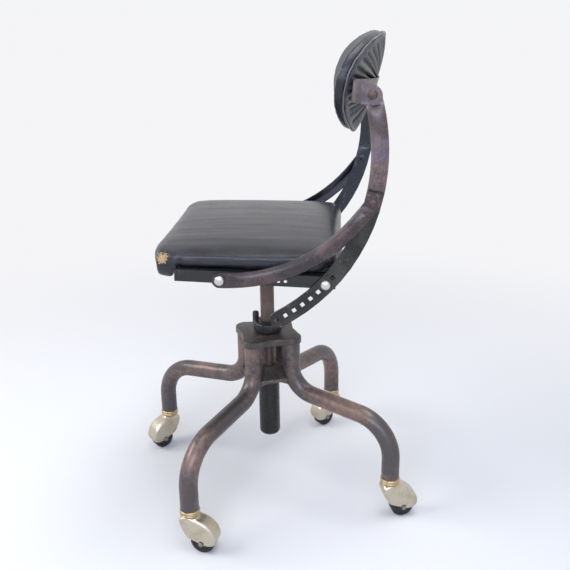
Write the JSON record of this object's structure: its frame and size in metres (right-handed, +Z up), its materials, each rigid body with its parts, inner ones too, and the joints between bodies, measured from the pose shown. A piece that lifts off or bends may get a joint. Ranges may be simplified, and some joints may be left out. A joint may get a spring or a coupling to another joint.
{
  "type": "desk chair",
  "caption": "Vintage posture desk chair: bent tube base on hooded casters, screw-height swivel seat between side rails, curved side bars and a small tilting oval back.",
  "frame": {"origin": "on the floor under the middle of the chair's bounding box, within a few millimetres of the spindle's axis", "axes": "+Z up, along the spindle; +X to the sitter's left, out of the left side rail; the chair faces -Y"},
  "size_m": [0.493, 0.5437, 0.8346],
  "materials": {
    "rusty_tube": "worn dark enamel over rusty steel tube",
    "cast_hub": "dark worn casting",
    "rusty_bar": "worn enamel over rusty pressed steel",
    "black_bar": "worn black enamel",
    "plated_steel": "dull plating",
    "nickel_brass": "worn nickel plate over brass",
    "black_leather": "smooth coated black cloth or leather, worn",
    "rubber": "hard black rubber",
    "plywood": "bare plywood"
  },
  "bodies": {
    "base": {"hub_top_plate": "cast_hub", "hub_lower_spider": "cast_hub", "spindle_guard_tube": "cast_hub", "leg_front_left": "rusty_tube", "leg_rear_left": "rusty_tube", "leg_rear_right": "rusty_tube", "leg_front_right": "rusty_tube", "caster_collar_front_left": "nickel_brass", "caster_collar_rear_left": "nickel_brass", "caster_collar_rear_right": "nickel_brass", "caster_collar_front_right": "nickel_brass"},
    "hand_nut": {"height_hand_nut": "cast_hub"},
    "spindle": {"height_spindle": "rusty_bar"},
    "caster_front_left": {"caster_hood_front_left": "nickel_brass", "caster_axle_front_left": "plated_steel"},
    "wheel_front_left": {"caster_wheel_front_left": "rubber"},
    "caster_rear_left": {"caster_hood_rear_left": "nickel_brass", "caster_axle_rear_left": "plated_steel"},
    "wheel_rear_left": {"caster_wheel_rear_left": "rubber"},
    "caster_rear_right": {"caster_hood_rear_right": "nickel_brass", "caster_axle_rear_right": "plated_steel"},
    "wheel_rear_right": {"caster_wheel_rear_right": "rubber"},
    "caster_front_right": {"caster_hood_front_right": "nickel_brass", "caster_axle_front_right": "plated_steel"},
    "wheel_front_right": {"caster_wheel_front_right": "rubber"},
    "back": {"back_strap": "rusty_bar", "back_bolt_left": "plated_steel", "back_bolt_right": "plated_steel", "back_pan": "rusty_tube", "back_cushion": "black_leather", "back_cover": "black_leather"},
    "seat": {"arm_left": "rusty_bar", "arm_right": "rusty_bar", "arm_rivet_left": "rusty_bar", "arm_rivet_right": "rusty_bar", "back_pivot_rivet_left": "rusty_bar", "back_pivot_rivet_right": "rusty_bar", "front_bolt_left": "plated_steel", "front_bolt_right": "plated_steel", "front_nut_left": "plated_steel", "front_nut_right": "plated_steel", "rear_bolt_left": "plated_steel", "rear_bolt_right": "plated_steel", "rear_nut_left": "plated_steel", "rear_nut_right": "plated_steel", "seat_board": "plywood", "seat_cross_strap_front": "black_bar", "seat_cross_strap_rear": "black_bar", "seat_cushion": "black_leather", "seat_rail_left": "black_bar", "seat_rail_right": "black_bar", "seat_swivel_socket": "cast_hub", "side_bar_left": "black_bar", "side_bar_right": "black_bar"}
  },
  "joints": [
    {"name": "seat_height", "type": "slide", "parent": "base", "child": "spindle", "axis": [0, 0, 1], "range_m": [-0.07, 0.035]},
    {"name": "nut_turn", "type": "hinge", "parent": "base", "child": "hand_nut", "pos_m": [0, 0, 0.31], "axis": [0, 0, 1], "range_deg": [-4000, 2000]},
    {"name": "seat_swivel", "type": "hinge", "parent": "spindle", "child": "seat", "pos_m": [0, 0, 0.4193], "axis": [0, 0, 1], "continuous": true},
    {"name": "back_tilt", "type": "hinge", "parent": "seat", "child": "back", "pos_m": [0, 0.17129, 0.7488], "axis": [1, 0, 0], "range_deg": [-20, 20]},
    {"name": "caster_swivel_front_left", "type": "hinge", "parent": "base", "child": "caster_front_left", "pos_m": [0.22315, -0.11815, 0.0795], "axis": [0, 0, 1], "continuous": true},
    {"name": "wheel_roll_front_left", "type": "hinge", "parent": "caster_front_left", "child": "wheel_front_left", "pos_m": [0.22783, -0.09614, 0.0206], "axis": [-0.9781, 0.2079, 0], "continuous": true},
    {"name": "caster_swivel_rear_left", "type": "hinge", "parent": "base", "child": "caster_rear_left", "pos_m": [0.11815, 0.22315, 0.0795], "axis": [0, 0, 1], "continuous": true},
    {"name": "wheel_roll_rear_left", "type": "hinge", "parent": "caster_rear_left", "child": "wheel_rear_left", "pos_m": [0.11195, 0.24478, 0.0206], "axis": [-0.9613, -0.2756, 0], "continuous": true},
    {"name": "caster_swivel_rear_right", "type": "hinge", "parent": "base", "child": "caster_rear_right", "pos_m": [-0.22315, 0.11815, 0.0795], "axis": [0, 0, 1], "continuous": true},
    {"name": "wheel_roll_rear_right", "type": "hinge", "parent": "caster_rear_right", "child": "wheel_rear_right", "pos_m": [-0.20869, 0.10092, 0.0206], "axis": [0.766, 0.6428, 0], "continuous": true},
    {"name": "caster_swivel_front_right", "type": "hinge", "parent": "base", "child": "caster_front_right", "pos_m": [-0.11815, -0.22315, 0.0795], "axis": [0, 0, 1], "continuous": true},
    {"name": "wheel_roll_front_right", "type": "hinge", "parent": "caster_front_right", "child": "wheel_front_right", "pos_m": [-0.10252, -0.23934, 0.0206], "axis": [0.7193, 0.6947, 0], "continuous": true}
  ],
  "couplings": [
    {"joint": "nut_turn", "follows": "seat_height", "rad_per_m": 989.48}
  ]
}
